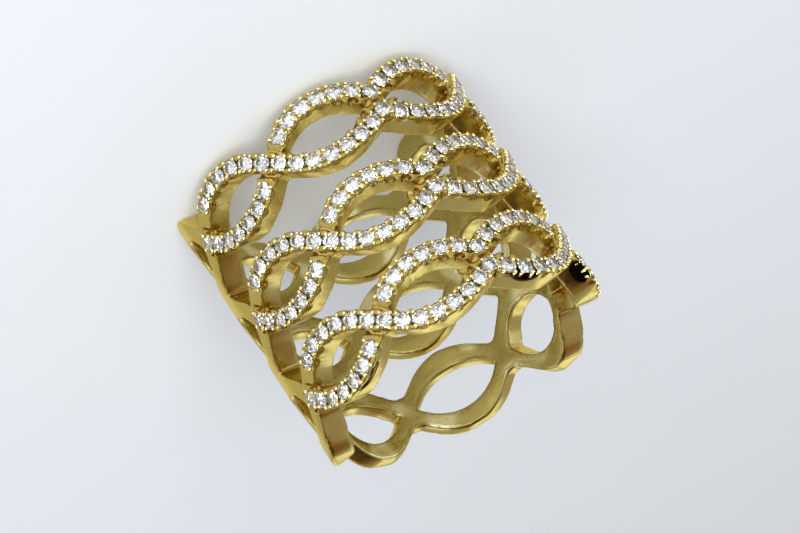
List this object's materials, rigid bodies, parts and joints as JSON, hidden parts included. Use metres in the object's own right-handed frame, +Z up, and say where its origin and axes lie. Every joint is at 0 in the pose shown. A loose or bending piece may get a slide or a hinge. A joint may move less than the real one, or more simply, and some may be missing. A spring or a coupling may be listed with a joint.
{
  "type": "finger ring",
  "caption": "Wide openwork finger ring of joined rows of twining strands, set with small white stones across the front and plain round the back.",
  "frame": {"origin": "on the finger hole's axis, in the plane that the ring lies on", "axes": "+Z up along the finger hole's axis from the lower row to the upper row, -Y towards the middle of the stones, +X to the right of someone who faces them"},
  "size_m": [0.0214, 0.0203, 0.0198],
  "materials": {
    "brass": "satin, with polished rims",
    "stones": "polished"
  },
  "bodies": {
    "root": {"band": "brass", "stones_lower": "stones", "stones_middle": "stones", "stones_upper": "stones"}
  },
  "joints": []
}
